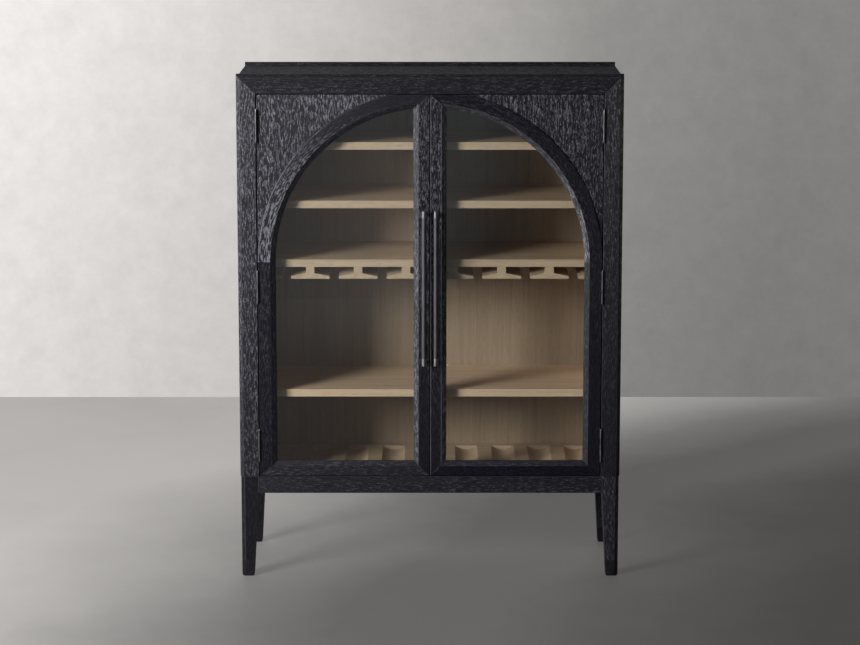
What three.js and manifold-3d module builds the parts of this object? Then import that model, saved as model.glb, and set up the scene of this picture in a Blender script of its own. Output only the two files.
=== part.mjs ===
// Bar cabinet: two glazed doors that form one arch, on a base of four tapered legs.
// Millimetres, +Z up, the front faces -Y. The origin is on the floor, under the middle of the
// whole object, handles included. Depths are measured back from the front face of the case.
import * as THREE from "three";
import { mergeVertices } from "three/addons/utils/BufferGeometryUtils.js";
import Module from "manifold-3d";

const wasm = await Module();
wasm.setup();

// Driving dimensions of the case
const width = 1200;
const depth = 450;
const height = 1600;
const baseHeight = 326;

// Front frame and panels
const frameWidth = 60;
const frameThickness = 25;
const frameChamfer = 11;
const topRecess = 12;
const topThickness = 22;
const sideThickness = 18;
const liningThickness = 12;
const backThickness = 12;
const backRecess = 8;
const backRailThickness = 20;

// Base
const legInset = 2;
const legWidth = 54;
const footWidth = 39;
const footEasing = 4;
const apronHeight = 54;
const apronThickness = 20;
const bottomThickness = 20;

// Shelves, as shares of the height between the base and the underside of the top
const shelfThickness = 24;
const shelfSetback = 50;
const rackShelfShare = 0.5548;
const shelfShares = [0.8532, 0.7048, rackShelfShare, 0.2194];

// Divider between the stemware rack and the top
const dividerThickness = 24;
const dividerSetback = 2;

// Stemware rack
const railCount = 6;
const stemWidth = 27;
const stemHeight = 20;
const slotWidth = 29;
const flangeHeight = 18;
const flangeTip = 8.5;
const railSetback = 1;

// Bottle cradle
const grooveCount = 9;
const grooveRadius = 55;
const grooveSag = 14;
const grooveMargin = 4.5;
const grooveEndWall = 33;
const cradleThickness = 28;
const cradleSetback = 8;

// Doors
const doorGap = 3;
const meetingGap = 3;
const doorThickness = 22;
const stileFace = 39;
const meetingFace = 34;
const bottomFace = 31;
const bevelWidth = 16;
const bevelDepth = 9;
const rebateWidth = 8;
const glassSeat = 12;
const glassThickness = 4;
const glassClearance = 1;
const crownTrim = 13;
const cornerRecess = 4;
const cornerTip = 1;

// Bar pulls
const pullLength = 490;
const pullRadius = 8;
const pullStandoff = 30;
const gripRelief = 0.5;
const collarLength = 24;
const pullEasing = 1.5;
const postRadius = 5;

// Butt hinges
const hingeLength = 100;
const hingeFromEnd = 97;
const leafThickness = 1.2;
const leafMargin = 2;
const barrelRadius = 3;
const barrelClearance = 0.3;
const boreRadius = 1.8;
const pinRadius = 1.4;
const knuckleGap = 0.5;
const tipHeight = 4;
const knuckleCount = 5;

// Magnetic catch
const catchHalfWidth = 32;
const catchDepth = 18;
const catchDrop = 20;
const catchClearance = 0.4;

// Fits and counts
const joint = 0.3;
const overrun = 5;
const arcSteps = 36;
const grooveSteps = 10;
const roundSteps = 24;
const mergeDistance = 1e-4;

// Places that follow from the sizes above
const pullReach = pullStandoff + pullRadius;
const frontY = -(depth - pullReach) / 2;
const backY = frontY + depth;
const halfWidth = width / 2;
const openingHalf = halfWidth - frameWidth;
const openingTop = height - frameWidth;
const panelInner = halfWidth - sideThickness;
const topLevel = height - topRecess;
const ceiling = topLevel - topThickness;
const backFace = depth - backRecess - backThickness;
const apronBottom = baseHeight - apronHeight;
const legOuter = halfWidth - legInset;
const legInner = legOuter - legWidth;
const apronFront = legInset;
const backApronNear = depth - legInset - apronThickness;
const bottomTop = baseHeight - bottomThickness;

const doorOuter = openingHalf - doorGap;
const doorInner = meetingGap / 2;
const doorBottom = baseHeight + doorGap;
const doorTop = openingTop - doorGap;
const glassRadius = doorOuter - stileFace - bevelWidth;
const glassInner = doorInner + meetingFace + bevelWidth;
const glassBottom = doorBottom + bottomFace + bevelWidth;
const springLine = doorTop + crownTrim - doorOuter;

const hingeX = openingHalf - doorGap / 2;
const hingeDepth = -barrelRadius - barrelClearance;
const doorMiddle = (doorBottom + doorTop) / 2;
const hingeHeights = [
  ["lower", doorBottom + hingeFromEnd],
  ["middle", doorMiddle],
  ["upper", doorTop - hingeFromEnd],
];
const shelfTops = shelfShares.map((share) => baseHeight + share * (ceiling - baseHeight));
const rackShelfTop = baseHeight + rackShelfShare * (ceiling - baseHeight);
const rackTop = rackShelfTop - shelfThickness;
const halvingDepth = (shelfSetback + backFace) / 2;
const railPitch = (2 * openingHalf - stemWidth) / (railCount + 1);
const groovePitch = (2 * (openingHalf - grooveMargin)) / grooveCount;

// Materials
const blackOak = new THREE.MeshStandardMaterial({ color: 0x232221, roughness: 0.6 });
const lightOak = new THREE.MeshStandardMaterial({ color: 0xb59c7c, roughness: 0.65 });
const clearGlass = new THREE.MeshStandardMaterial({
  color: 0xdde5e4,
  roughness: 0.05,
  transparent: true,
  opacity: 0.25,
});
const darkMetal = new THREE.MeshStandardMaterial({ color: 0x2e2d2c, roughness: 0.35, metalness: 1 });

// A geometry as a solid that can be cut and joined
function solidOf(geometry) {
  const bare = geometry.clone();
  bare.deleteAttribute("normal");
  bare.deleteAttribute("uv");
  const merged = mergeVertices(bare, mergeDistance);
  const mesh = new wasm.Mesh({
    numProp: 3,
    vertProperties: merged.attributes.position.array,
    triVerts: new Uint32Array(merged.index.array),
  });
  return new wasm.Manifold(mesh);
}

// A solid as a geometry with flat faces
function geometryOf(solid) {
  const mesh = solid.getMesh();
  const indexed = new THREE.BufferGeometry();
  indexed.setAttribute("position", new THREE.BufferAttribute(mesh.vertProperties, mesh.numProp));
  indexed.setIndex(new THREE.BufferAttribute(mesh.triVerts, 1));
  const flat = indexed.toNonIndexed();
  flat.computeVertexNormals();
  return flat;
}

function shapeOf(points) {
  return new THREE.Shape(points.map(([u, v]) => new THREE.Vector2(u, v)));
}

function extruded(points, length) {
  return new THREE.ExtrudeGeometry(shapeOf(points), { depth: length, bevelEnabled: false });
}

// An outline of x and z, extruded between two depths
function plate(points, nearDepth, farDepth) {
  const turn = new THREE.Matrix4().makeBasis(
    new THREE.Vector3(1, 0, 0),
    new THREE.Vector3(0, 0, 1),
    new THREE.Vector3(0, -1, 0),
  );
  const geometry = extruded(points, farDepth - nearDepth).applyMatrix4(turn);
  return solidOf(geometry.translate(0, frontY + farDepth, 0));
}

// An outline of depth and z, extruded between two places in x
function bar(points, fromX, toX) {
  const turn = new THREE.Matrix4().makeBasis(
    new THREE.Vector3(0, 1, 0),
    new THREE.Vector3(0, 0, 1),
    new THREE.Vector3(1, 0, 0),
  );
  const geometry = extruded(points, toX - fromX).applyMatrix4(turn);
  return solidOf(geometry.translate(fromX, frontY, 0));
}

// An outline of x and depth, extruded between two heights
function post(points, fromZ, toZ) {
  return solidOf(extruded(points, toZ - fromZ).translate(0, frontY, fromZ));
}

function rectangle(fromU, toU, fromV, toV) {
  return [
    [fromU, fromV],
    [toU, fromV],
    [toU, toV],
    [fromU, toV],
  ];
}

function block(fromX, toX, nearDepth, farDepth, fromZ, toZ) {
  return plate(rectangle(fromX, toX, fromZ, toZ), nearDepth, farDepth);
}

function arc(centreU, centreV, radius, fromAngle, toAngle, steps) {
  return Array.from({ length: steps + 1 }, (_, i) => {
    const angle = fromAngle + ((toAngle - fromAngle) * i) / steps;
    return [centreU + radius * Math.cos(angle), centreV + radius * Math.sin(angle)];
  });
}

// A solid between two outlines of x and z with as many points, at two depths
function loft(nearPoints, nearDepth, farPoints, farDepth) {
  const count = nearPoints.length;
  const corners = [
    ...nearPoints.map(([x, z]) => [x, frontY + nearDepth, z]),
    ...farPoints.map(([x, z]) => [x, frontY + farDepth, z]),
  ];
  const capOf = (points) =>
    THREE.ShapeUtils.triangulateShape(
      points.map(([x, z]) => new THREE.Vector2(x, z)),
      [],
    );
  const faces = [];
  for (const [a, b, c] of capOf(nearPoints)) faces.push(a, b, c);
  for (const [a, b, c] of capOf(farPoints)) faces.push(count + c, count + b, count + a);
  for (let i = 0; i < count; i += 1) {
    const next = (i + 1) % count;
    faces.push(i, count + i, count + next);
    faces.push(i, count + next, next);
  }
  const geometry = new THREE.BufferGeometry();
  geometry.setAttribute("position", new THREE.Float32BufferAttribute(corners.flat(), 3));
  geometry.setIndex(faces);
  return solidOf(geometry);
}

// A turned solid about a vertical line, from an outline of radius and z
function turned(points, x, atDepth) {
  const profile = points.map(([radius, z]) => new THREE.Vector2(radius, z));
  const geometry = new THREE.LatheGeometry(profile, roundSteps);
  geometry.rotateX(Math.PI / 2);
  return solidOf(geometry.translate(x, frontY + atDepth, 0));
}

// The half-plane prism that takes the chamfer off a corner at (u, depth), towards the front
function chamferOutline(outerU, frontDepth) {
  return [
    [outerU - frameChamfer - overrun, frontDepth - overrun],
    [outerU + overrun, frontDepth - overrun],
    [outerU + overrun, frontDepth + frameChamfer + overrun],
  ];
}

function piece(name, solid, material) {
  const mesh = new THREE.Mesh(geometryOf(solid), material);
  mesh.name = name;
  return mesh;
}

// One leg of the right side: straight beside the aprons, then tapered on its two inner faces
function legSolid() {
  const taper = legWidth - footWidth;
  const outer = legOuter;
  const near = legInset;
  const frontOutline = [
    [legInner, baseHeight],
    [legInner, apronBottom],
    [legInner + taper, footEasing],
    [legInner + taper + footEasing, 0],
    [outer - footEasing, 0],
    [outer, footEasing],
    [outer, baseHeight],
  ];
  const sideOutline = [
    [near + legWidth, baseHeight],
    [near, baseHeight],
    [near, footEasing],
    [near + footEasing, 0],
    [near + footWidth - footEasing, 0],
    [near + footWidth, footEasing],
    [near + legWidth, apronBottom],
  ];
  const crossed = plate(frontOutline, near - overrun, near + legWidth + overrun).intersect(
    bar(sideOutline, legInner - overrun, outer + overrun),
  );
  return crossed.subtract(post(chamferOutline(outer, near), -overrun, baseHeight + overrun));
}

// The same solid turned round to face the back
function facingBack(solid) {
  return solid.mirror([0, 1, 0]).translate([0, frontY + backY, 0]);
}

function frontStile() {
  const outline = [
    [openingHalf, baseHeight],
    [halfWidth, baseHeight],
    [halfWidth, height - joint],
    [openingHalf, openingTop - joint],
  ];
  const whole = plate(outline, 0, frameThickness);
  return whole.subtract(post(chamferOutline(halfWidth, 0), baseHeight - overrun, height + overrun));
}

function frontTopRail() {
  const outline = [
    [-openingHalf, openingTop],
    [openingHalf, openingTop],
    [halfWidth, height],
    [-halfWidth, height],
  ];
  const chamfer = chamferOutline(height, 0).map(([z, atDepth]) => [atDepth, z]);
  const cutter = bar(chamfer, -halfWidth - overrun, halfWidth + overrun);
  return plate(outline, 0, frameThickness).subtract(cutter);
}

// The glass opening of the right door, grown by an offset: its foot, then the arc
function openingOutline(offset) {
  const radius = glassRadius + offset;
  const innerX = glassInner - offset;
  const endAngle = Math.acos(innerX / radius);
  return [
    [innerX, glassBottom - offset],
    [radius, glassBottom - offset],
    ...arc(0, springLine, radius, 0, endAngle, arcSteps),
  ];
}

const openingCorner = openingOutline(0).at(-1);

// All that is cut out of the door frame: the bevel, the opening and the seat of the glass
function doorCutter() {
  const reach = (bevelWidth * (bevelDepth + overrun)) / bevelDepth;
  const bevel = loft(openingOutline(reach), -overrun, openingOutline(0), bevelDepth);
  const through = plate(openingOutline(0), -overrun, doorThickness + overrun);
  const seat = plate(openingOutline(rebateWidth), glassSeat, doorThickness + overrun);
  return bevel.add(through).add(seat);
}

function doorMember(outline, cutter) {
  return plate(outline, 0, doorThickness).subtract(cutter);
}

// Where the arch band meets the top edge of the door
const crownAngle = Math.asin((doorTop - springLine) / doorOuter);
const crownX = doorOuter * Math.cos(crownAngle);

function doorOutlines() {
  const [cornerX, cornerZ] = openingCorner;
  return {
    outer_stile: [
      [doorOuter, doorBottom + joint],
      [doorOuter, springLine - joint],
      [glassRadius, springLine - joint],
      [glassRadius, glassBottom + joint],
    ],
    bottom_rail: [
      [doorInner, doorBottom],
      [doorOuter, doorBottom],
      [glassRadius, glassBottom],
      [glassInner, glassBottom],
    ],
    meeting_stile: [
      [doorInner, doorBottom + joint],
      [glassInner, glassBottom + joint],
      [cornerX, cornerZ - joint],
      [doorInner, doorTop - joint],
    ],
    arch_band: [
      [glassRadius, springLine],
      ...arc(0, springLine, doorOuter, 0, crownAngle, arcSteps),
      [doorInner, doorTop],
      ...openingOutline(0).slice(2).reverse(),
    ],
  };
}

// The panel that fills the corner outside the arch, a little behind the face of the band
function cornerPanel() {
  const radius = doorOuter + joint;
  const tipAngle = Math.acos((doorOuter - cornerTip) / radius);
  const endAngle = Math.asin((doorTop - springLine) / radius);
  const outline = [
    [doorOuter, springLine + radius * Math.sin(tipAngle)],
    [doorOuter, doorTop],
    ...arc(0, springLine, radius, tipAngle, endAngle, arcSteps).reverse(),
  ];
  return plate(outline, cornerRecess, doorThickness);
}

function barPull() {
  const half = pullLength / 2;
  const x = doorInner + meetingFace / 2;
  const grip = pullRadius - gripRelief;
  const profile = [
    [0, doorMiddle - half],
    [pullRadius - pullEasing, doorMiddle - half],
    [pullRadius, doorMiddle - half + pullEasing],
    [pullRadius, doorMiddle - half + collarLength],
    [grip, doorMiddle - half + collarLength],
    [grip, doorMiddle + half - collarLength],
    [pullRadius, doorMiddle + half - collarLength],
    [pullRadius, doorMiddle + half - pullEasing],
    [pullRadius - pullEasing, doorMiddle + half],
    [0, doorMiddle + half],
  ];
  const posts = [-1, 1].map((end) => {
    const z = doorMiddle + end * (half - collarLength / 2);
    const geometry = new THREE.CylinderGeometry(postRadius, postRadius, pullStandoff, roundSteps);
    return solidOf(geometry.translate(x, frontY - pullStandoff / 2, z));
  });
  return turned(profile, x, -pullStandoff).add(posts[0]).add(posts[1]);
}

// The knuckles that one leaf carries, every second one from the first given, as pairs of heights
function knuckles(fromZ, first) {
  const step = hingeLength / knuckleCount;
  const spans = [];
  for (let i = first; i < knuckleCount; i += 2) {
    const low = fromZ + i * step + (i === 0 ? 0 : knuckleGap / 2);
    const high = fromZ + (i + 1) * step - (i === knuckleCount - 1 ? 0 : knuckleGap / 2);
    spans.push([low, high]);
  }
  return spans;
}

function tube(low, high) {
  const ring = [
    [boreRadius, low],
    [barrelRadius, low],
    [barrelRadius, high],
    [boreRadius, high],
    [boreRadius, low],
  ];
  return turned(ring, hingeX, hingeDepth);
}

// A flat leaf in the gap beside the door, with a tab forward to each of its knuckles
function leaf(fromX, toX, fromZ, spans) {
  const rootDepth = hingeDepth + (boreRadius + barrelRadius) / 2;
  let whole = block(fromX, toX, barrelClearance, doorThickness - leafMargin, fromZ, fromZ + hingeLength);
  for (const [low, high] of spans) {
    whole = whole.add(block(fromX, toX, rootDepth, leafMargin, low, high));
    whole = whole.add(tube(low, high));
  }
  return whole;
}

// The frame leaf carries the pin, which its two end knuckles hold
function frameLeaf(middle) {
  const fromZ = middle - hingeLength / 2;
  const toZ = middle + hingeLength / 2;
  const spans = knuckles(fromZ, 0);
  const pin = turned(
    [
      [0, fromZ - tipHeight],
      [pinRadius, fromZ - tipHeight],
      [barrelRadius, fromZ],
      [barrelRadius, fromZ + knuckleGap],
      [pinRadius, fromZ + knuckleGap],
      [pinRadius, toZ - knuckleGap],
      [barrelRadius, toZ - knuckleGap],
      [barrelRadius, toZ],
      [pinRadius, toZ + tipHeight],
      [0, toZ + tipHeight],
    ],
    hingeX,
    hingeDepth,
  );
  return leaf(openingHalf - leafThickness, openingHalf, fromZ, spans).add(pin);
}

function doorLeaf(middle) {
  const fromZ = middle - hingeLength / 2;
  return leaf(doorOuter, doorOuter + leafThickness, fromZ, knuckles(fromZ, 1));
}

// One rail of the rack, from an outline of x and z under the shelf
function rackRail(outline) {
  return plate(outline, shelfSetback + railSetback, backFace);
}

function railOutline(centre) {
  const flangeHalf = (railPitch - slotWidth) / 2;
  const stemHalf = stemWidth / 2;
  const stemFoot = rackTop - stemHeight;
  const foot = stemFoot - flangeHeight;
  const half = [
    [stemHalf, rackTop],
    [stemHalf, stemFoot],
    [flangeHalf, foot + flangeTip],
    [flangeHalf, foot],
  ];
  const left = half.map(([u, z]) => [centre - u, z]).reverse();
  const right = half.map(([u, z]) => [centre + u, z]);
  return { left, whole: [...right, ...left] };
}

// The shelves above the rack and the divider are cross-halved: each is cut from its own side
function shelfSlot(top) {
  const half = dividerThickness / 2;
  return block(-half, half, halvingDepth, backFace + overrun, top - shelfThickness - overrun, top + overrun);
}

function divider() {
  const half = dividerThickness / 2;
  const nearDepth = shelfSetback + dividerSetback;
  let board = block(-half, half, nearDepth, backFace, rackShelfTop, ceiling);
  for (const top of shelfTops.filter((level) => level > rackShelfTop)) {
    board = board.subtract(
      block(-half - overrun, half + overrun, nearDepth - overrun, halvingDepth, top - shelfThickness, top),
    );
  }
  return board;
}

// The cradle board with its grooves, which run out at the front and stop before the back
function cradle() {
  const nearDepth = doorThickness + cradleSetback;
  const foot = bottomTop;
  const top = foot + cradleThickness;
  const centreZ = top + grooveRadius - grooveSag;
  const halfAngle = Math.acos((grooveRadius - grooveSag) / grooveRadius);
  let board = block(-openingHalf, openingHalf, nearDepth, backApronNear, foot, top);
  for (let i = 0; i < grooveCount; i += 1) {
    const centreX = (i - (grooveCount - 1) / 2) * groovePitch;
    const down = -Math.PI / 2;
    const outline = arc(centreX, centreZ, grooveRadius, down - halfAngle, down + halfAngle, grooveSteps);
    const [firstX] = outline[0];
    const [lastX] = outline.at(-1);
    const groove = [...outline, [lastX, top + overrun], [firstX, top + overrun]];
    board = board.subtract(plate(groove, nearDepth - overrun, backFace - grooveEndWall));
  }
  return board;
}

function doorCatch() {
  const nearDepth = doorThickness + catchClearance;
  const outline = [
    [frameThickness, ceiling],
    [frameThickness, openingTop - catchClearance],
    [nearDepth, openingTop - catchClearance],
    [nearDepth, openingTop - catchDrop],
    [nearDepth + catchDepth, openingTop - catchDrop],
    [nearDepth + catchDepth, ceiling],
  ];
  return bar(outline, -catchHalfWidth, catchHalfWidth);
}

// The pieces of the right side, which the left side mirrors
function caseSide(side) {
  const group = new THREE.Group();
  const frontLeg = legSolid();
  group.add(
    piece(`leg_front_${side}`, frontLeg, blackOak),
    piece(`leg_back_${side}`, facingBack(frontLeg), blackOak),
    piece(
      `apron_${side}`,
      block(
        legOuter - apronThickness,
        legOuter,
        legInset + legWidth,
        depth - legInset - legWidth,
        apronBottom,
        baseHeight,
      ),
      blackOak,
    ),
    piece(`front_stile_${side}`, frontStile(), blackOak),
    piece(
      `side_panel_${side}`,
      block(panelInner, halfWidth, frameThickness, depth, baseHeight, ceiling),
      blackOak,
    ),
    piece(
      `side_lining_${side}`,
      block(openingHalf, openingHalf + liningThickness, frameThickness, backFace, baseHeight, ceiling),
      lightOak,
    ),
  );
  return group;
}

function caseMiddle() {
  const group = new THREE.Group();
  const railDepth = depth - backRailThickness;
  const chamfer = chamferOutline(height, 0).map(([z, atDepth]) => [depth - atDepth, z]);
  const backRail = block(-halfWidth, halfWidth, railDepth, depth, ceiling, height).subtract(
    bar(chamfer.reverse(), -halfWidth - overrun, halfWidth + overrun),
  );
  group.add(
    piece("front_top_rail", frontTopRail(), blackOak),
    piece("top_panel", block(-halfWidth, halfWidth, frameThickness, railDepth, ceiling, topLevel), blackOak),
    piece("back_rail", backRail, blackOak),
    piece(
      "back_panel",
      block(-panelInner, panelInner, backFace, backFace + backThickness, baseHeight, ceiling),
      lightOak,
    ),
    piece(
      "apron_front",
      block(-legInner, legInner, apronFront, apronFront + apronThickness, apronBottom, baseHeight),
      blackOak,
    ),
    piece(
      "apron_back",
      block(-legInner, legInner, backApronNear, depth - legInset, apronBottom, baseHeight),
      blackOak,
    ),
    piece(
      "bottom_panel",
      block(
        -legInner,
        legInner,
        apronFront + apronThickness,
        backApronNear,
        bottomTop - bottomThickness,
        bottomTop,
      ),
      lightOak,
    ),
    piece("door_catch", doorCatch(), darkMetal),
  );
  return group;
}

function interior() {
  const group = new THREE.Group();
  shelfTops.forEach((top, i) => {
    const board = block(-openingHalf, openingHalf, shelfSetback, backFace, top - shelfThickness, top);
    const crossed = top > rackShelfTop;
    group.add(piece(`shelf_${i + 1}`, crossed ? board.subtract(shelfSlot(top)) : board, lightOak));
  });
  group.add(piece("divider", divider(), lightOak));
  for (let i = 0; i < railCount; i += 1) {
    const centre = (i - (railCount - 1) / 2) * railPitch;
    group.add(piece(`rack_rail_${i + 1}`, rackRail(railOutline(centre).whole), lightOak));
  }
  group.add(piece("bottle_cradle", cradle(), lightOak));
  return group;
}

// A half rail on the right lining: the stem and the flange that points into the cabinet
function halfRail(side) {
  const outline = [
    ...railOutline(openingHalf - stemWidth / 2).left,
    [openingHalf, rackTop],
    [openingHalf, rackTop - stemHeight - flangeHeight],
  ];
  return piece(`rack_half_rail_${side}`, rackRail(outline), lightOak);
}

function door(side) {
  const group = new THREE.Group();
  const cutter = doorCutter();
  for (const [name, outline] of Object.entries(doorOutlines())) {
    group.add(piece(`door_${side}_${name}`, doorMember(outline, cutter), blackOak));
  }
  const pane = plate(
    openingOutline(rebateWidth - glassClearance),
    glassSeat,
    glassSeat + glassThickness,
  );
  group.add(
    piece(`door_${side}_corner_panel`, cornerPanel(), blackOak),
    piece(`door_${side}_glass`, pane, clearGlass),
    piece(`door_${side}_pull`, barPull(), darkMetal),
  );
  for (const [place, middle] of hingeHeights) {
    group.add(
      piece(`hinge_${side}_${place}_frame_leaf`, frameLeaf(middle), darkMetal),
      piece(`hinge_${side}_${place}_door_leaf`, doorLeaf(middle), darkMetal),
    );
  }
  return group;
}

const cabinet = new THREE.Group();
for (const [side, sign] of [
  ["left", -1],
  ["right", 1],
]) {
  const half = new THREE.Group();
  half.add(caseSide(side), halfRail(side), door(side));
  half.scale.x = sign;
  cabinet.add(half);
}
cabinet.add(caseMiddle(), interior());

export default cabinet;
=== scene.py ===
"""Looks of the bar cabinet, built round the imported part. Metres, +Z up, the doors face -Y."""

import math
import random

import bmesh
import bpy
from mathutils import Matrix, Vector


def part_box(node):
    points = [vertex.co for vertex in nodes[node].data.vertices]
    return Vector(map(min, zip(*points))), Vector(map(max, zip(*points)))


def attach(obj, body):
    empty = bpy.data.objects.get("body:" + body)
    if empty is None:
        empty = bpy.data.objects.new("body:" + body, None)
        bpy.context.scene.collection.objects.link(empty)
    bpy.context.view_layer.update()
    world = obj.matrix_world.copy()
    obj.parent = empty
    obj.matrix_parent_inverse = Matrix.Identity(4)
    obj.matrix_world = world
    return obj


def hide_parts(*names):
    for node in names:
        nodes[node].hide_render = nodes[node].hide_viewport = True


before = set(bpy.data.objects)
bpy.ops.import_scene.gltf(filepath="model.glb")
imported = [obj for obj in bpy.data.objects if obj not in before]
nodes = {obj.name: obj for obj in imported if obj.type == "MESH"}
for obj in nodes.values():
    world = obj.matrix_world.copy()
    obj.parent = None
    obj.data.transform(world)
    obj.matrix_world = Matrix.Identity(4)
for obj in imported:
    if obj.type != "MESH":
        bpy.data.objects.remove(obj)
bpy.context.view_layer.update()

SIDES = ("left", "right")
SIGNS = {"left": -1, "right": 1}
MILLIMETRE = 0.001

# Camera, as fitted to the frame's corners, the shelves and the feet
FRAME_PIXELS = 860
FOCAL_PIXELS = 2672.1
SENSOR_MM = 36
CAMERA_HEIGHT = 2.3631
CAMERA_BACK = 8.4317
CAMERA_PITCH = 9.875
CAMERA_SHIFT = -0.04
CAMERA_REACH = 100

# Room
WALL_BACK = 2.49
WALL_SIDE = 5.2
WALL_FRONT = 5.2
WALL_HEIGHT = 5.5
FLOOR_REACH = 30

# Tones of the walls and the floor, spread evenly from one end of their reach to the other. They are
# painted light and shade: light to dark across, on the floor and the front wall on a slant, as the lamp's
# light and the cabinet's shadow would fall
PLASTER = (1.0, 0.965, 0.935)
COOL_PLASTER = (0.93, 0.98, 1.0)
BACK_TONES = (1.0, 0.86, 0.7, 0.51, 0.31, 0.25, 0.245)
BACK_REACH = 2.1
FRONT_TONES = (0.335, 0.345, 0.36, 0.34, 0.1, 0.02, 0.01)
FRONT_REACH = 1.05
FRONT_LEAN = 0.5
FRONT_LEVEL = 0.35
LEFT_TONES = (0.3, 0.6)
RIGHT_TONES = (0.06, 0.15)
WALL_WANDER = 0.02
WALL_FADE_HEIGHT = 2.0
FLOOR_TONES = (0.54, 0.415, 0.235, 0.14, 0.145, 0.09, 0.058)
FLOOR_TONE_REACH = 1.5
FLOOR_WANDER = 0.03
FLOOR_LEAN = 0.4
FLOOR_NEAR = -0.8
FLOOR_FAR = 1.0
FLOOR_FAR_LEAN = 0.85
FLOOR_BLEND = (-3.0, -5.4)
FLOOR_ALBEDO = 0.55
FLOOR_OWN_LIGHT = 0.56
FLOOR_AHEAD = (0.02, 0.02, 0.02)

# Key light, a broad one to the left
KEY_PLACE = (-3.45, -3.4, 2.17)
KEY_TARGET = (0.0, 0.0, 0.8)
KEY_SIZE = (1.45, 1.55)
KEY_POWER = 258

# Faint light on the right side and the back, from behind the front's plane
FILL_PLACE = (3.4, 2.1, 1.2)
FILL_TARGET = (0.4, 0.0, 0.9)
FILL_SIZE = (1.5, 1.5)
FILL_POWER = 28

# Faint light from all round
WORLD_COLOUR = (0.6, 0.6, 0.64)
WORLD_POWER = 0.07

# Edge rounding and shading
FRAME_ARRIS = 1.2 * MILLIMETRE
DOOR_ARRIS = 0.8 * MILLIMETRE
MEETING_ARRIS = 1.2 * MILLIMETRE
BAND_ARRIS = 1.4 * MILLIMETRE
SHELF_ARRIS = 0.9 * MILLIMETRE
CATCH_ARRIS = 0.6 * MILLIMETRE
LEAF_ARRIS = 0.25 * MILLIMETRE
ARRIS_ANGLE = math.radians(25)
FLAT_ANGLE = math.radians(0.4)
SHARP_ANGLE = math.radians(50)
NORMAL_WEIGHT = 80
WELD = 0.01 * MILLIMETRE

# How far a face looks one way, or to the front where it is a bevel
FACING = 0.9
BEVEL_FACING = (0.5, 0.95)

# Foot caps and the neck in their joint
CAP_HEIGHT = 51 * MILLIMETRE
CAP_JOINT = 0.8 * MILLIMETRE
CORE_INSIDE = 1.2 * MILLIMETRE
CORE_REACH = 4 * MILLIMETRE

# Pulls
COLLAR_LENGTH = 24 * MILLIMETRE
COLLAR_GROOVE = 0.8 * MILLIMETRE
PULL_EASE = 1.2 * MILLIMETRE
POST_RADIUS = 5 * MILLIMETRE
POST_FLARE_SHARE = 1.6
POST_SINK_SHARE = 0.5
KNURL_PITCH = 2.2 * MILLIMETRE
KNURL_DEPTH = 0.45 * MILLIMETRE
KNURL_ROUND = 20
KNURL_STEPS = 4

# Panes and beads
PANE_COVER = 7 * MILLIMETRE
PANE_BACK = 16 * MILLIMETRE
DOOR_THICKNESS = 22 * MILLIMETRE
BEAD_OUTER = 7.6 * MILLIMETRE
BEAD_INNER = 0.6 * MILLIMETRE
BEAD_GAP = 0.1 * MILLIMETRE
BEAD_SINK = 0.4 * MILLIMETRE
BEAD_EASE = 2.5 * MILLIMETRE
EASE_ROUND_SHARE = 0.3
ARC_STEPS = 48

# Arch of the doors, whose centre lies on the middle line, and the painted highlight along its outer edge,
# where the arris catches the light
ARCH_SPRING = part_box("door_right_arch_band")[0].z
ARCH_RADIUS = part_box("door_right_arch_band")[1].x
PAINTED_RIM_WIDTH = 3.4 * MILLIMETRE

# Black strip in the gap between the doors, put there as painted shade
GAP_STRIP_DEPTH = 6 * MILLIMETRE
GAP_STRIP_WIDTH = 4 * MILLIMETRE
GAP_STRIP_REACH = 2.7 * MILLIMETRE
GAP_STRIP_ROOT = 0.1 * MILLIMETRE
GAP_STRIP_ROUND_SHARE = 0.3
GAP_STRIP_END = 2 * MILLIMETRE

# Stops behind the doors
STOP_GAP = 0.6 * MILLIMETRE
STOP_DEPTH = 7 * MILLIMETRE
STOP_WIDTH = 9 * MILLIMETRE
STOP_FOOT = 25 * MILLIMETRE
STOP_EASE = 0.8 * MILLIMETRE
STOP_BREAK = 33 * MILLIMETRE

# Screws: radius and height of their heads, and where they sit
PULL_SCREW = (4 * MILLIMETRE, 1.4 * MILLIMETRE)
HINGE_SCREW = (3.4 * MILLIMETRE, 0.14 * MILLIMETRE)
BACK_SCREW = (3.6 * MILLIMETRE, 0.8 * MILLIMETRE)
LEAF_THICKNESS = 1.2 * MILLIMETRE
HINGE_SCREW_DEPTH = 12 * MILLIMETRE
HINGE_SCREW_SPREAD = 34 * MILLIMETRE
BACK_SCREW_INSET = 9 * MILLIMETRE
BACK_SCREWS_ACROSS = 7
BACK_SCREWS_UP = 8
SCREW_ROOT = 0.2 * MILLIMETRE
SCREW_DOME_SHARES = ((1.0, 0.35), (0.86, 0.75), (0.62, 1.0))
SLOT_WIDTH_SHARE = 0.13
SLOT_REACH_SHARE = 0.5
SLOT_DEPTH_SHARE = 0.6
SLOT_TAPER_SHARE = 0.7

# Magnets and strike plates
MAGNET_LEVEL = 10 * MILLIMETRE
MAGNET_ASIDE = 17 * MILLIMETRE
MAGNET_RADIUS = 6.5 * MILLIMETRE
MAGNET_EASE = 0.5 * MILLIMETRE
MAGNET_PROUD = 0.1 * MILLIMETRE
MAGNET_DEPTH = 2 * MILLIMETRE
STRIKE_RADIUS = 7.4 * MILLIMETRE
STRIKE_EASE = 0.4 * MILLIMETRE
STRIKE_PROUD = 0.25 * MILLIMETRE
STRIKE_DEPTH = 1 * MILLIMETRE
DIMPLE_RADIUS = 2.6 * MILLIMETRE
DIMPLE_WIDTH = 0.4 * MILLIMETRE
DIMPLE_SHARE = 0.4

# Steps round a turned piece
TURN_STEPS = {"collar": 48, "post": 32, "magnet": 32, "strike": 40, "screw": 24}

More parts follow.
